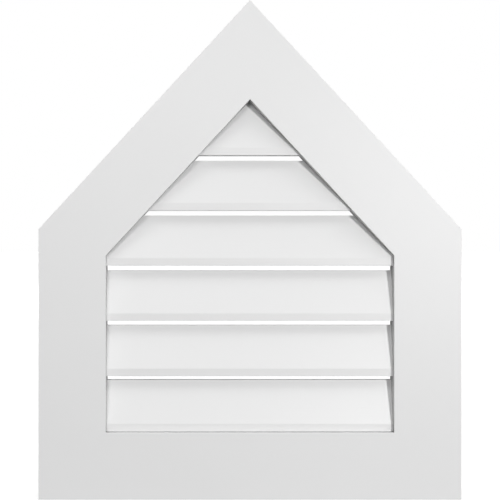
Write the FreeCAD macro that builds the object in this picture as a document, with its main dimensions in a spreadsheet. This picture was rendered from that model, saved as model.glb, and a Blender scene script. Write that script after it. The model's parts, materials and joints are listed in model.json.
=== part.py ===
"""Peaked gable vent: a mitred frame of flat trim boards around fixed bevelled louvers.

Millimetres. +X is to the right and +Z is up, seen from the front. The back of the frame lies on
the wall plane Y = 0, the vent faces -Y, and the origin is the middle of the frame's bottom edge.
"""
import FreeCAD, Part
import os
import Sketcher

SIZES = (
    ("frame_width", "558.8", "overall width of the frame"),
    ("frame_height", "660.4", "overall height, from the bottom edge to the peak"),
    ("pitch_rise", "13", "rise of the raked top over one pitch run"),
    ("pitch_run", "12", "run of the raked top over one pitch rise"),
    ("board_width", "88.9", "face width of the frame boards"),
    ("board_thickness", "25.4", "thickness of the frame boards"),
    ("edge_radius", "0.4", "eased front edges of the boards and the louver lips"),
    ("louver_count", "6", "louvers that share the height of the opening"),
    ("slit_height", "6.2", "open slit between one louver and the next"),
    ("lip_height", "10.1", "upright front lip at the foot of a louver"),
    ("lip_setback", "7.6", "from the front of the frame back to the lips"),
    ("foot_thickness", "12.0", "louver thickness at its foot"),
    ("top_thickness", "6.4", "louver thickness at its top edge"),
    ("wall_clearance", "0.4", "from the backs of the louvers to the wall plane"),
    ("seat_depth", "6.4", "how far a louver's end is housed in the frame"),
    ("seat_clearance", "0.2", "room for cement around a housed end"),
)

# Front elevation of the frame, as expressions of the sizes
RISE = "(Sizes.pitch_rise / Sizes.pitch_run)"
SLANT = f"sqrt(1 + {RISE} ^ 2)"
HALF_WIDTH = "(Sizes.frame_width / 2)"
HALF_OPENING = f"({HALF_WIDTH} - Sizes.board_width)"
OUTER_EAVE = f"(Sizes.frame_height - {HALF_WIDTH} * {RISE})"
INNER_PEAK = f"(Sizes.frame_height - Sizes.board_width * {SLANT})"
INNER_EAVE = f"({INNER_PEAK} - {HALF_OPENING} * {RISE})"

# Spacing of the louvers: they share the opening from the sill to its peak
LOUVER_COUNT = "round(Sizes.louver_count)"
LOUVER_PITCH = f"(({INNER_PEAK} - Sizes.board_width) / {LOUVER_COUNT})"
BLADE_HEIGHT = f"({LOUVER_PITCH} - Sizes.slit_height)"
PEAK_BLADE_HEIGHT = f"({LOUVER_PITCH} + (Sizes.seat_depth + Sizes.seat_clearance) * {SLANT})"

# Louver section: places along Y, which is 0 on the wall plane and negative in front of it
LIP_FACE = "(Sizes.lip_setback - Sizes.board_thickness)"
FOOT_BACK = f"({LIP_FACE} + Sizes.foot_thickness)"
TOP_BACK = "(-Sizes.wall_clearance)"
TOP_FACE = f"({TOP_BACK} - Sizes.top_thickness)"

SIDES = (("left", "-1"), ("right", "1"))
LINE_START = 1
LINE_END = 2
ORIGIN_POINT = (-1, 1)
FIT_TOLERANCE = 1e-4

doc = FreeCAD.newDocument("gable_vent")
sheet = doc.addObject("Spreadsheet::Sheet", "Sizes")
for row, (alias, number, note) in enumerate(SIZES, start=1):
    sheet.set(f"A{row}", note)
    sheet.set(f"B{row}", number)
    sheet.setAlias(f"B{row}", alias)
doc.recompute()


def value_of(expression):
    """Return the number that an expression of the sizes has now."""
    return float(sheet.evalExpression(expression))


def origin_plane(body, role):
    """Return one of a body's own origin planes."""
    for feature in body.Origin.OriginFeatures:
        if feature.Role == role:
            return feature
    raise ValueError(f"{body.Label} has no plane {role}")


def hold_corner(sketch, corner, direction, expression):
    """Tie one coordinate of a sketch corner to an expression, measured from the origin."""
    measure = Sketcher.Constraint(direction, *ORIGIN_POINT, corner, LINE_START, value_of(expression))
    index = sketch.addConstraint(measure)
    sketch.setExpression(f"Constraints[{index}]", expression)


def polygon_sketch(body, role, corners):
    """Sketch a closed polygon on an origin plane of the body, with every corner dimensioned."""
    sketch = body.newObject("Sketcher::SketchObject", f"{body.Name}_outline")
    sketch.AttachmentSupport = [(origin_plane(body, role), "")]
    sketch.MapMode = "FlatFace"
    points = [FreeCAD.Vector(value_of(across), value_of(up), 0) for across, up in corners]
    for index, point in enumerate(points):
        sketch.addGeometry(Part.LineSegment(points[index - 1], point))
    for index, (across, up) in enumerate(corners):
        following = (index + 1) % len(corners)
        sketch.addConstraint(Sketcher.Constraint("Coincident", index, LINE_END, following, LINE_START))
        hold_corner(sketch, following, "DistanceX", across)
        hold_corner(sketch, following, "DistanceY", up)
    return sketch


def padded_body(name, role, corners, length, side="One side"):
    """Make a body by padding a polygon drawn on one of its origin planes."""
    body = doc.addObject("PartDesign::Body", name)
    sketch = polygon_sketch(body, role, corners)
    pad = body.newObject("PartDesign::Pad", f"{name}_pad")
    pad.Profile = sketch
    pad.SideType = side
    pad.setExpression("Length", length)
    doc.recompute()
    return body


def ease_edges(body, middles):
    """Round the edges of a padded body whose middles are given."""
    pad = body.Tip
    chosen = []
    for number, edge in enumerate(pad.Shape.Edges, start=1):
        centre = edge.CenterOfMass
        if any(centre.distanceToPoint(middle) < FIT_TOLERANCE for middle in middles):
            chosen.append(f"Edge{number}")
    if len(chosen) != len(middles):
        raise ValueError(f"{body.Label} has {len(chosen)} of its {len(middles)} edges to ease")
    fillet = body.newObject("PartDesign::Fillet", f"{body.Name}_eased")
    fillet.Base = (pad, chosen)
    fillet.setExpression("Radius", "Sizes.edge_radius")


def frame_board(name, outer_edge, inner_edge):
    """Make a mitred board from the ends of its outer edge and its inner edge, seen from the front."""
    corners = (outer_edge[0], outer_edge[1], inner_edge[1], inner_edge[0])
    body = padded_body(name, "XZ_Plane", corners, "Sizes.board_thickness")
    front = value_of("-Sizes.board_thickness")
    middles = []
    for (first_x, first_z), (second_x, second_z) in (outer_edge, inner_edge):
        middle_x = value_of(f"({first_x} + {second_x}) / 2")
        middle_z = value_of(f"({first_z} + {second_z}) / 2")
        middles.append(FreeCAD.Vector(middle_x, front, middle_z))
    ease_edges(body, middles)
    return body


def opening_outline(spread):
    """Return the corners of the opening above the sill, spread outwards into jambs and rakes."""
    half = f"({HALF_OPENING} + {spread})"
    peak = f"({INNER_PEAK} + {spread} * {SLANT})"
    eave = f"({peak} - {half} * {RISE})"
    return (
        (f"-{half}", "Sizes.board_width"),
        (half, "Sizes.board_width"),
        (half, eave),
        ("0", peak),
        (f"-{half}", eave),
    )


def blade_face(height):
    """Return the place along Y of a louver's sloping face, at a height above its foot."""
    climb = f"({height} - Sizes.lip_height) / ({BLADE_HEIGHT} - Sizes.lip_height)"
    return f"({LIP_FACE} + ({TOP_FACE} - {LIP_FACE}) * {climb})"


def blade_back(height):
    """Return the place along Y of a louver's back, at a height above its foot."""
    return f"({FOOT_BACK} + ({TOP_BACK} - {FOOT_BACK}) * {height} / {BLADE_HEIGHT})"


def louver_stock(name, height):
    """Make a length of bevelled louver stock with its upright lip, standing on Z = 0."""
    section = (
        (LIP_FACE, "0"),
        (FOOT_BACK, "0"),
        (blade_back(height), height),
        (blade_face(height), height),
        (LIP_FACE, "Sizes.lip_height"),
    )
    body = padded_body(name, "YZ_Plane", section, "Sizes.frame_width", "Symmetric")
    ease_edges(body, [FreeCAD.Vector(0, value_of(LIP_FACE), 0)])
    return body


def housing_cutter(name, height):
    """Make the cutter of a louver's housing: its foot and face with clearance, open at the back."""
    clearance = "Sizes.seat_clearance"
    top = f"({height} + {clearance})"
    section = (
        (f"({LIP_FACE} - {clearance})", "0"),
        ("Sizes.wall_clearance", "0"),
        ("Sizes.wall_clearance", top),
        (f"({blade_face(top)} - {clearance})", top),
        (f"({LIP_FACE} - {clearance})", "Sizes.lip_height"),
    )
    return padded_body(name, "YZ_Plane", section, "Sizes.frame_width", "Symmetric")


def boolean(kind, name, base, tool):
    """Make a boolean of two objects of the document."""
    result = doc.addObject(f"Part::{kind}", name)
    result.Base = base
    result.Tool = tool
    return result


# Louver stock and housing cutters, each stood at its own height
count = int(value_of(LOUVER_COUNT))
stocks = []
cutters = []
for step in range(count):
    blade = BLADE_HEIGHT if step < count - 1 else PEAK_BLADE_HEIGHT
    foot = f"Sizes.board_width + {step} * {LOUVER_PITCH}"
    stocks.append(louver_stock(f"stock_{step + 1}", blade))
    cutters.append(housing_cutter(f"housing_{step + 1}", blade))
    stocks[-1].setExpression("Placement.Base.z", foot)
    cutters[-1].setExpression("Placement.Base.z", foot)

# Louvers: the stock cut to the opening plus its housed ends, and kept in front of the wall
trim = padded_body(
    "louver_trim", "XZ_Plane", opening_outline("Sizes.seat_depth"), "Sizes.board_thickness"
)
trim.setExpression("Placement.Base.y", TOP_BACK)
subparts = []
for step, stock in enumerate(stocks, start=1):
    name = f"louver_{step}" if step < count else "peak_louver"
    subparts.append(boolean("Common", name, stock, trim))

# Housings: the cutters stopped at the depth of the seats
reach = "(Sizes.seat_depth + Sizes.seat_clearance)"
limit = padded_body(
    "housing_limit", "XZ_Plane", opening_outline(reach), "Sizes.board_thickness * 2", "Symmetric"
)
cutter_group = doc.addObject("Part::Compound", "housing_cutters")
cutter_group.Links = cutters
housings = boolean("Common", "housings", cutter_group, limit)

# Frame: the sill, and a jamb and a rake on each side with the housings cut into them
sill_outer = ((f"-{HALF_WIDTH}", "0"), (HALF_WIDTH, "0"))
sill_inner = ((f"-{HALF_OPENING}", "Sizes.board_width"), (HALF_OPENING, "Sizes.board_width"))
subparts.append(frame_board("sill", sill_outer, sill_inner))
for side, sign in SIDES:
    outer_x = f"({sign} * {HALF_WIDTH})"
    inner_x = f"({sign} * {HALF_OPENING})"
    jamb_outer = ((outer_x, "0"), (outer_x, OUTER_EAVE))
    jamb_inner = ((inner_x, "Sizes.board_width"), (inner_x, INNER_EAVE))
    jamb = frame_board(f"{side}_jamb_board", jamb_outer, jamb_inner)
    subparts.append(boolean("Cut", f"{side}_jamb", jamb, housings))
    rake_outer = ((outer_x, OUTER_EAVE), ("0", "Sizes.frame_height"))
    rake_inner = ((inner_x, INNER_EAVE), ("0", INNER_PEAK))
    rake = frame_board(f"{side}_rake_board", rake_outer, rake_inner)
    subparts.append(boolean("Cut", f"{side}_rake", rake, housings))
doc.recompute()

# Nothing is written unless every feature is sound and every sub-part is one valid solid
for feature in doc.Objects:
    if "Invalid" in feature.State or "Error" in feature.State:
        raise RuntimeError(f"{feature.Label} failed: {feature.State}")
for subpart in subparts:
    shape = subpart.Shape
    if shape.isNull() or not shape.isValid() or len(shape.Solids) != 1:
        raise RuntimeError(f"{subpart.Label} is not one valid solid")

os.makedirs("parts", exist_ok=True)
for subpart in subparts:
    subpart.Shape.exportStep(f"parts/{subpart.Label}.step")
    print(subpart.Label, round(subpart.Shape.Volume), "mm3")
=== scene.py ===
import json
import math

import bpy
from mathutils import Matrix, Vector


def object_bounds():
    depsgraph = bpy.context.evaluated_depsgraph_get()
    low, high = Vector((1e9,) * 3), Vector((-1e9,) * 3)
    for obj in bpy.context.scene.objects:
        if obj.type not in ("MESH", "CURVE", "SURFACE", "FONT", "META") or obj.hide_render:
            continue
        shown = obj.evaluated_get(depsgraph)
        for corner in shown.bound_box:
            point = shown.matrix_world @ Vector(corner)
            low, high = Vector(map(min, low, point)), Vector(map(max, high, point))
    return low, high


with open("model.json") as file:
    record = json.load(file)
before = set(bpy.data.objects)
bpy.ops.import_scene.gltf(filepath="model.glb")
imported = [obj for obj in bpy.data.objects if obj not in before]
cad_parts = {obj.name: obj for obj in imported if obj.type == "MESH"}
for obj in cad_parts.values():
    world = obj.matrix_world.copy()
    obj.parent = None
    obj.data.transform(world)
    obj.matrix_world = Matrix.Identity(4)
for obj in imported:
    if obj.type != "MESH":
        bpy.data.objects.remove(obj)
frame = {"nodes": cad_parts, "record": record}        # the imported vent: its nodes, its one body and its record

bl_info = {
    "name": "Gable Vent Finishes",
    "version": (1, 0, 0),
    "blender": (4, 5, 0),
    "location": "View3D > Sidebar > Gable Vent",
    "description": "Finishes the boards and louvers of a peaked gable vent and sets its studio",
    "category": "Object",
}

CAD_LOW, CAD_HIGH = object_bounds()

# Pieces of the vent, by the record's material slots
FRAME_SLOT = "frame_pvc"
LOUVER_SLOT = "louver_pvc"
NODES_BY_SLOT = {FRAME_SLOT: [], LOUVER_SLOT: []}
for subpart in frame["record"]["subparts"]:
    NODES_BY_SLOT[subpart["material_slot"]].append(subpart["node"])
SLOT_COLOURS = {material["slot"]: material["base_color"] for material in frame["record"]["materials"]}

# Front view of the vent, taken from the frame
FRONT_Y = CAD_LOW.y
VENT_HEIGHT = CAD_HIGH.z - CAD_LOW.z
VENT_MIDDLE = (CAD_LOW + CAD_HIGH) / 2

# Turn that lifts a camera from looking straight down to looking level, into the wall
LEVEL_TURN = math.radians(90)

# Lamps of the studio, and those that light the vent without a gleam on it
LAMPS = ("key", "front", "overhead", "back")
LAMPS_WITH_NO_GLEAM = ("back",)

# How squarely a face looks to the front or back: up to the first it is a sawn edge, from the second skin
SAWN_FACING = 0.35
SKIN_FACING = 0.65

# Rays that feel for a corner around each point of the surface, to set how much shade is painted there
CORNER_RAYS = 8

# Layers of finer noise in the drifting tone and in the relief of the skin
TONE_DETAIL = 3.0
RELIEF_DETAIL = 4.0

# How far the skin's roughness strays to either side of its mean, as a share of it
ROUGHNESS_SPREAD = 0.12

# Steps between the nodes of a material in Blender's editor
COLUMN_WIDTH = 220
ROW_HEIGHT = 260

WHITE = (1.0, 1.0, 1.0, 1.0)


def lamp_place(lamp, place):
    """Return the setting for where a lamp hangs."""
    return bpy.props.FloatVectorProperty(
        name=f"{lamp} place", description=f"Where the {lamp.lower()} lamp hangs",
        default=place, size=3, subtype="TRANSLATION",
    )


def lamp_size(lamp, width, depth):
    """Return the setting for the width and depth of a lamp."""
    return bpy.props.FloatVectorProperty(
        name=f"{lamp} size", description=f"Width and depth of the {lamp.lower()} lamp",
        default=(width, depth), size=2, min=0.01, subtype="XYZ", unit="LENGTH",
    )


def lamp_power(lamp, power):
    """Return the setting for the power of a lamp."""
    return bpy.props.FloatProperty(
        name=f"{lamp} power", description=f"Power of the {lamp.lower()} lamp",
        default=power, min=0.0, unit="POWER",
    )


class SatinSkin:
    """Settings that the boards and the louvers share: a satin skin, and sawn edges with painted shade in their
    deep corners.
    """

    mottle: bpy.props.FloatProperty(
        name="Mottle", description="How far the tone drifts over a piece, as a share of the colour",
        default=0.008, min=0.0, max=0.2, subtype="FACTOR",
    )
    roughness: bpy.props.FloatProperty(
        name="Roughness", description="Mean roughness of the satin skin",
        default=0.42, min=0.0, max=1.0, subtype="FACTOR",
    )
    sawn_roughness: bpy.props.FloatProperty(
        name="Sawn roughness", description="Roughness of the sawn edges, which have no skin",
        default=0.9, min=0.0, max=1.0, subtype="FACTOR",
    )
    # Painted shade: how far the colour of the sawn edges is darkened in the deepest corners, where shade falls
    painted_edge_shade: bpy.props.FloatProperty(
        name="Edge film", description="How far a grey film darkens the sawn edges in the deepest corners",
        default=0.85, min=0.0, max=1.0, subtype="FACTOR",
    )
    # How far the painted shade spreads out of a corner
    painted_shade_reach: bpy.props.FloatProperty(
        name="Painted shade reach", description="How far the film spreads out of a corner",
        default=0.018, min=0.0, unit="LENGTH",
    )


class BoardFinish(SatinSkin, bpy.types.PropertyGroup):
    """Finish of the frame boards: flat sheets of white cellular plastic."""

    colour: bpy.props.FloatVectorProperty(
        name="Colour", description="Mean colour of the boards",
        default=SLOT_COLOURS[FRAME_SLOT], size=3, min=0.0, max=1.0, subtype="COLOR",
    )
    mottle_size: bpy.props.FloatProperty(
        name="Mottle size", description="Width of one patch of drifting tone",
        default=0.09, min=0.001, unit="LENGTH",
    )
    grain_size: bpy.props.FloatProperty(
        name="Grain size", description="Width of one pebble in the rolled skin",
        default=0.0016, min=0.0001, unit="LENGTH",
    )
    grain_depth: bpy.props.FloatProperty(
        name="Grain depth", description="Height of the pebbles in the rolled skin",
        default=0.00005, min=0.0, unit="LENGTH",
    )


class LouverFinish(SatinSkin, bpy.types.PropertyGroup):
    """Finish of the louvers: extruded strips of white cellular plastic."""

    colour: bpy.props.FloatVectorProperty(
        name="Colour", description="Mean colour of the louvers",
        default=SLOT_COLOURS[LOUVER_SLOT], size=3, min=0.0, max=1.0, subtype="COLOR",
    )
    line_width: bpy.props.FloatProperty(
        name="Die line width", description="Width of one faint line left along a louver by its die",
        default=0.0022, min=0.0001, unit="LENGTH",
    )
    line_length: bpy.props.FloatProperty(
        name="Die line length", description="Length over which a die line fades",
        default=0.25, min=0.001, unit="LENGTH",
    )
    line_depth: bpy.props.FloatProperty(
        name="Die line depth", description="Height of the die lines",
        default=0.00005, min=0.0, unit="LENGTH",
    )


class StudioSettings(bpy.types.PropertyGroup):
    """Camera, lamps and floor of the studio."""

    camera_distance: bpy.props.FloatProperty(
        name="Camera distance", description="From the front of the vent to the camera",
        default=1.19, min=0.1, unit="LENGTH",
    )
    camera_across: bpy.props.FloatProperty(
        name="Camera across", description="How far the camera stands to the right of the vent's middle",
        default=-0.072, unit="LENGTH",
    )
    camera_height: bpy.props.FloatProperty(
        name="Camera height", description="Height of the camera above the vent's foot",
        default=0.34, unit="LENGTH",
    )
    picture_fill: bpy.props.FloatProperty(
        name="Picture fill", description="Share of the picture's height that the vent takes",
        default=1.0, min=0.1, max=1.0, subtype="FACTOR",
    )
    key_place: lamp_place("Key", (1.95, -5.0, 0.85))
    key_size: lamp_size("Key", 0.36, 0.36)
    key_power: lamp_power("Key", 122.0)
    front_place: lamp_place("Front", (-1.2, -6.0, 2.2))
    front_size: lamp_size("Front", 1.5, 1.5)
    front_power: lamp_power("Front", 82.0)
    overhead_place: lamp_place("Overhead", (0.84, -3.07, 7.15))
    overhead_size: lamp_size("Overhead", 9.8, 3.1)
    overhead_power: lamp_power("Overhead", 263.0)
    back_place: lamp_place("Back", (0.0, 6.0, 0.33))
    back_size: lamp_size("Back", 1.0, 0.8)
    back_power: lamp_power("Back", 250.0)
    fill: bpy.props.FloatProperty(
        name="Fill", description="Strength of the even light from all round", default=0.1, min=0.0,
    )
    floor_width: bpy.props.FloatProperty(
        name="Floor width", description="Width of the square floor", default=60.0, min=1.0, unit="LENGTH",
    )
    floor_colour: bpy.props.FloatVectorProperty(
        name="Floor colour", description="Colour of the floor as it is seen",
        default=(0.8, 0.8, 0.8), size=3, min=0.0, max=1.0, subtype="COLOR",
    )
    floor_bounce: bpy.props.FloatVectorProperty(
        name="Floor bounce", description="Colour of the floor to the light that it throws back up",
        default=(0.15, 0.15, 0.15), size=3, min=0.0, max=1.0, subtype="COLOR",
    )
    floor_glow_near: bpy.props.FloatProperty(
        name="Near glow", description="White added to the floor as it is seen, near the vent",
        default=0.66, min=0.0, max=1.0, subtype="FACTOR",
    )
    floor_glow_far: bpy.props.FloatProperty(
        name="Far glow", description="White added to the floor as it is seen, far from the vent",
        default=1.0, min=0.0, max=1.0, subtype="FACTOR",
    )
    floor_near: bpy.props.FloatProperty(
        name="Near floor", description="Distance out to which the near glow holds",
        default=0.4, min=0.0, unit="LENGTH",
    )
    floor_far: bpy.props.FloatProperty(
        name="Far floor", description="Distance from which the far glow holds",
        default=5.0, min=0.0, unit="LENGTH",
    )


def opaque(colour, gain=1.0):
    """Return a colour of three numbers, times a gain, with full opacity."""
    return (*(channel * gain for channel in colour), 1.0)


def even_patch(size):
    """Return a noise patch that is as large along X, Y and Z."""
    return (size, size, size)


def new_material(name):
    """Make an empty material with nodes and return it with its node tree."""
    material = bpy.data.materials.new(name)
    material.use_nodes = True
    material.node_tree.nodes.clear()
    return material, material.node_tree


def add_node(tree, kind, column, row, **sockets):
    """Add a node at a column and row of the editor, with values for some of its sockets."""
    node = tree.nodes.new(kind)
    node.location = (column * COLUMN_WIDTH, -row * ROW_HEIGHT)
    for name, value in sockets.items():
        node.inputs[name].default_value = value
    return node


def stretched_noise(tree, row, patch, detail):
    """Add noise whose patches have the given sizes along X, Y and Z, in metres."""
    place = add_node(tree, "ShaderNodeTexCoord", -5, row)
    mapping = add_node(tree, "ShaderNodeMapping", -4, row, Scale=[1.0 / size for size in patch])
    noise = add_node(tree, "ShaderNodeTexNoise", -3, row, Scale=1.0, Detail=detail)
    tree.links.new(place.outputs["Object"], mapping.inputs["Vector"])
    tree.links.new(mapping.outputs["Vector"], noise.inputs["Vector"])
    return noise


def skin_share(tree):
    """Return a socket that is 1 on the skin, which faces front or back, and 0 on the sawn edges."""
    facing = add_node(tree, "ShaderNodeTexCoord", -6, 1)
    directions = add_node(tree, "ShaderNodeSeparateXYZ", -5, 1)
    depthwise = add_node(tree, "ShaderNodeMath", -4, 1)
    depthwise.operation = "ABSOLUTE"
    skin = add_node(tree, "ShaderNodeMapRange", -3, 1, **{"From Min": SAWN_FACING, "From Max": SKIN_FACING})
    tree.links.new(facing.outputs["Normal"], directions.inputs["Vector"])
    tree.links.new(directions.outputs["Y"], depthwise.inputs[0])
    tree.links.new(depthwise.outputs["Value"], skin.inputs["Value"])
    return skin.outputs["Result"]


def paint_corner_shade(tree, finish, clean, skin):
    """Return a colour with painted shade: darker where the sawn edges lie deep in a corner."""
    # Ambient occlusion drives the painted shade
    corner = add_node(tree, "ShaderNodeAmbientOcclusion", -4, -1, Distance=finish.painted_shade_reach)
    corner.samples = CORNER_RAYS
    shade = add_node(tree, "ShaderNodeMapRange", -3, -1, **{"To Min": 1.0 - finish.painted_edge_shade})
    kept = add_node(tree, "ShaderNodeMath", -2, -1)
    kept.operation = "MAXIMUM"
    shaded_colour = add_node(tree, "ShaderNodeVectorMath", -1, 0)
    shaded_colour.operation = "SCALE"
    tree.links.new(corner.outputs["AO"], shade.inputs["Value"])
    tree.links.new(shade.outputs["Result"], kept.inputs[0])
    tree.links.new(skin, kept.inputs[1])
    tree.links.new(clean, shaded_colour.inputs["Vector"])
    tree.links.new(kept.outputs["Value"], shaded_colour.inputs["Scale"])
    return shaded_colour.outputs["Vector"]


def satin_plastic(name, finish, tone_patch, relief_patch, relief_depth):
    """Make white plastic: a satin skin with a drifting tone and a fine relief, and matt sawn edges."""
    material, tree = new_material(name)
    output = add_node(tree, "ShaderNodeOutputMaterial", 1, 0)
    shader = add_node(tree, "ShaderNodeBsdfPrincipled", 0, 0)
    tree.links.new(shader.outputs["BSDF"], output.inputs["Surface"])
    skin = skin_share(tree)

    tone = stretched_noise(tree, 0, tone_patch, TONE_DETAIL)
    ramp = add_node(tree, "ShaderNodeValToRGB", -2, 0)
    darker, lighter = ramp.color_ramp.elements
    darker.color = opaque(finish.colour, 1.0 - finish.mottle)
    lighter.color = opaque(finish.colour, 1.0 + finish.mottle)
    tree.links.new(tone.outputs["Fac"], ramp.inputs["Fac"])
    # The base colour carries painted shade: the sawn edges are darkened deep in corners, where shade falls
    tree.links.new(paint_corner_shade(tree, finish, ramp.outputs["Color"], skin), shader.inputs["Base Color"])

    relief = stretched_noise(tree, 2, relief_patch, RELIEF_DETAIL)
    glossiest = finish.roughness * (1.0 - ROUGHNESS_SPREAD)
    dullest = finish.roughness * (1.0 + ROUGHNESS_SPREAD)
    gloss = add_node(tree, "ShaderNodeMapRange", -2, 1, **{"To Min": glossiest, "To Max": dullest})
    matt = add_node(tree, "ShaderNodeMix", -1, 1, A=finish.sawn_roughness)
    tree.links.new(relief.outputs["Fac"], gloss.inputs["Value"])
    tree.links.new(skin, matt.inputs["Factor"])
    tree.links.new(gloss.outputs["Result"], matt.inputs["B"])
    tree.links.new(matt.outputs["Result"], shader.inputs["Roughness"])

    bump = add_node(tree, "ShaderNodeBump", -1, 2, Strength=1.0, Distance=relief_depth)
    tree.links.new(relief.outputs["Fac"], bump.inputs["Height"])
    tree.links.new(bump.outputs["Normal"], shader.inputs["Normal"])
    return material


def dress(slot, material):
    """Give every node of a material slot one finish."""
    for name in NODES_BY_SLOT[slot]:
        node = frame["nodes"][name]
        node.data.materials.clear()
        node.data.materials.append(material)


def seen_directly(tree, column, row):
    """Return a socket that is 1 where the camera, a reflection or a clear body looks, and else 0."""
    path = add_node(tree, "ShaderNodeLightPath", column, row)
    total = path.outputs["Is Camera Ray"]
    for step, kind in enumerate(("Is Glossy Ray", "Is Transmission Ray"), start=1):
        either = add_node(tree, "ShaderNodeMath", column + step, row)
        either.operation = "MAXIMUM"
        tree.links.new(total, either.inputs[0])
        tree.links.new(path.outputs[kind], either.inputs[1])
        total = either.outputs["Value"]
    return total


def white_world(fill):
    """Make a world that looks white and lights the vent evenly at the fill strength."""
    world = bpy.data.worlds.new("white_studio")
    world.use_nodes = True
    tree = world.node_tree
    tree.nodes.clear()
    output = add_node(tree, "ShaderNodeOutputWorld", 2, 0)
    choice = add_node(tree, "ShaderNodeMixShader", 1, 0)
    light = add_node(tree, "ShaderNodeBackground", 0, 1, Color=WHITE, Strength=fill)
    white = add_node(tree, "ShaderNodeBackground", 0, 2, Color=WHITE, Strength=1.0)
    tree.links.new(seen_directly(tree, -3, 0), choice.inputs["Fac"])
    tree.links.new(light.outputs["Background"], choice.inputs[1])
    tree.links.new(white.outputs["Background"], choice.inputs[2])
    tree.links.new(choice.outputs["Shader"], output.inputs["Surface"])
    bpy.context.scene.world = world


def floor_paint(studio):
    """Make the floor's finish: white with the vent's shadow where it is seen, and dark in its bounce."""
    material, tree = new_material("floor_paint")
    output = add_node(tree, "ShaderNodeOutputMaterial", 3, 0)
    choice = add_node(tree, "ShaderNodeMixShader", 2, 0)
    bounce = add_node(tree, "ShaderNodeBsdfDiffuse", 0, 1, Color=opaque(studio.floor_bounce))
    paint = add_node(tree, "ShaderNodeBsdfDiffuse", 0, 2, Color=opaque(studio.floor_colour))
    glow = add_node(tree, "ShaderNodeEmission", 0, 3, Color=WHITE)
    place = add_node(tree, "ShaderNodeTexCoord", -3, 3)
    distance = add_node(tree, "ShaderNodeVectorMath", -2, 3)
    distance.operation = "LENGTH"
    level = add_node(
        tree, "ShaderNodeMapRange", -1, 3,
        **{
            "From Min": studio.floor_near, "From Max": studio.floor_far,
            "To Min": studio.floor_glow_near, "To Max": studio.floor_glow_far,
        },
    )
    tree.links.new(place.outputs["Object"], distance.inputs[0])
    tree.links.new(distance.outputs["Value"], level.inputs["Value"])
    tree.links.new(level.outputs["Result"], glow.inputs["Strength"])
    seen = add_node(tree, "ShaderNodeAddShader", 1, 2)
    tree.links.new(paint.outputs["BSDF"], seen.inputs[0])
    tree.links.new(glow.outputs["Emission"], seen.inputs[1])
    tree.links.new(seen_directly(tree, -3, 0), choice.inputs["Fac"])
    tree.links.new(bounce.outputs["BSDF"], choice.inputs[1])
    tree.links.new(seen.outputs["Shader"], choice.inputs[2])
    tree.links.new(choice.outputs["Shader"], output.inputs["Surface"])
    return material


def lay_floor(studio):
    """Lay the floor under the vent's foot."""
    half = studio.floor_width / 2
    level = CAD_LOW.z
    corners = [(-half, -half, level), (half, -half, level), (half, half, level), (-half, half, level)]
    mesh = bpy.data.meshes.new("floor")
    mesh.from_pydata(corners, [], [range(len(corners))])
    mesh.materials.append(floor_paint(studio))
    floor = bpy.data.objects.new("floor", mesh)
    # The rays that feel for corners pass through the floor, so the sill gets no painted shade along its foot
    floor.visible_shadow = False
    bpy.context.scene.collection.objects.link(floor)


def hang_lamp(name, place, size, power, gleams):
    """Hang a soft lamp that faces the middle of the vent and shows as a gleam on it or not."""
    data = bpy.data.lights.new(name, "AREA")
    data.shape = "RECTANGLE"
    data.size, data.size_y = size
    data.energy = power
    lamp = bpy.data.objects.new(name, data)
    lamp.location = place
    lamp.rotation_euler = (VENT_MIDDLE - Vector(place)).to_track_quat("-Z", "Y").to_euler()
    lamp.visible_glossy = gleams
    bpy.context.scene.collection.objects.link(lamp)


def set_camera(studio):
    """Stand the camera square to the vent and slide its picture so that the vent fills it."""
    picture = VENT_HEIGHT / studio.picture_fill
    data = bpy.data.cameras.new("camera")
    data.lens = data.sensor_width * studio.camera_distance / picture
    data.shift_x = (VENT_MIDDLE.x - studio.camera_across) / picture
    data.shift_y = (VENT_MIDDLE.z - studio.camera_height) / picture
    camera = bpy.data.objects.new("camera", data)
    camera.location = (studio.camera_across, FRONT_Y - studio.camera_distance, studio.camera_height)
    camera.rotation_euler = (LEVEL_TURN, 0.0, 0.0)
    bpy.context.scene.collection.objects.link(camera)
    bpy.context.scene.camera = camera


class GABLEVENT_OT_finish_boards(bpy.types.Operator):
    """Give the five frame boards one white satin finish that runs unbroken across their mitres"""

    bl_idname = "gable_vent.finish_boards"
    bl_label = "Finish Frame Boards"

    def execute(self, context):
        finish = context.scene.vent_boards
        mottle_patch = even_patch(finish.mottle_size)
        grain_patch = even_patch(finish.grain_size)
        material = satin_plastic("white_board", finish, mottle_patch, grain_patch, finish.grain_depth)
        dress(FRAME_SLOT, material)
        return {"FINISHED"}


class GABLEVENT_OT_finish_louvers(bpy.types.Operator):
    """Give the louvers a white satin finish with faint lines along their length"""

    bl_idname = "gable_vent.finish_louvers"
    bl_label = "Finish Louvers"

    def execute(self, context):
        finish = context.scene.vent_louvers
        mottle_patch = even_patch(finish.line_length)
        line_patch = (finish.line_length, finish.line_width, finish.line_width)
        material = satin_plastic("white_louver", finish, mottle_patch, line_patch, finish.line_depth)
        dress(LOUVER_SLOT, material)
        return {"FINISHED"}


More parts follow.
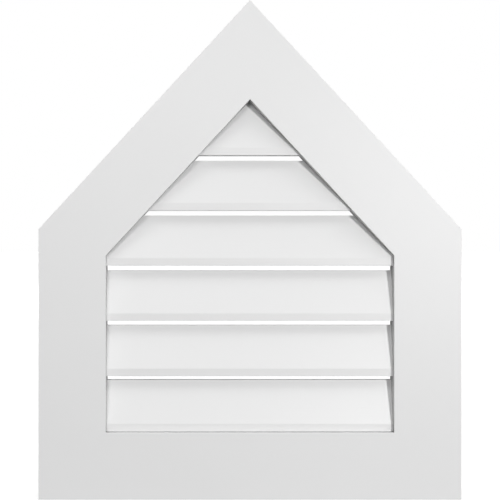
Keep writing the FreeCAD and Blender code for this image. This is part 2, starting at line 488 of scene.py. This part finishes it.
class GABLEVENT_OT_set_studio(bpy.types.Operator):
    """Set the camera, the lamps, the white surroundings and the floor"""

    bl_idname = "gable_vent.set_studio"
    bl_label = "Set Studio"

    def execute(self, context):
        studio = context.scene.vent_studio
        context.scene.view_settings.view_transform = "Standard"
        set_camera(studio)
        for name in LAMPS:
            hang_lamp(
                f"{name}_lamp",
                getattr(studio, f"{name}_place"),
                getattr(studio, f"{name}_size"),
                getattr(studio, f"{name}_power"),
                name not in LAMPS_WITH_NO_GLEAM,
            )
        white_world(studio.fill)
        lay_floor(studio)
        return {"FINISHED"}


class GABLEVENT_PT_sidebar(bpy.types.Panel):
    """Panel that lists the finishes and the studio"""

    bl_idname = "GABLEVENT_PT_sidebar"
    bl_label = "Gable Vent"
    bl_space_type = "VIEW_3D"
    bl_region_type = "UI"
    bl_category = "Gable Vent"

    def draw(self, context):
        for name, _, operator in SECTIONS:
            group = getattr(context.scene, name)
            section = self.layout.box()
            for setting in group.bl_rna.properties.keys():
                if setting not in BASE_PROPERTIES:
                    section.prop(group, setting)
            section.operator(operator.bl_idname)


# Sections of the panel: the scene's property, its kind of settings and the operator that uses them
SECTIONS = (
    ("vent_boards", BoardFinish, GABLEVENT_OT_finish_boards),
    ("vent_louvers", LouverFinish, GABLEVENT_OT_finish_louvers),
    ("vent_studio", StudioSettings, GABLEVENT_OT_set_studio),
)

# Properties that every group of settings has, which the panel leaves out
BASE_PROPERTIES = set(bpy.types.PropertyGroup.bl_rna.properties.keys())

CLASSES = (
    *(settings for _, settings, _ in SECTIONS),
    *(operator for _, _, operator in SECTIONS),
    GABLEVENT_PT_sidebar,
)


def register():
    """Register the classes and give the scene its settings."""
    for kind in CLASSES:
        bpy.utils.register_class(kind)
    for name, settings, _ in SECTIONS:
        setattr(bpy.types.Scene, name, bpy.props.PointerProperty(type=settings))


def unregister():
    """Take the settings off the scene and unregister the classes."""
    for name, _, _ in SECTIONS:
        delattr(bpy.types.Scene, name)
    for kind in reversed(CLASSES):
        bpy.utils.unregister_class(kind)


def main():
    """Finish the vent and set the studio."""
    register()
    bpy.ops.gable_vent.finish_boards()
    bpy.ops.gable_vent.finish_louvers()
    bpy.ops.gable_vent.set_studio()


if __name__ == "__main__":
    main()
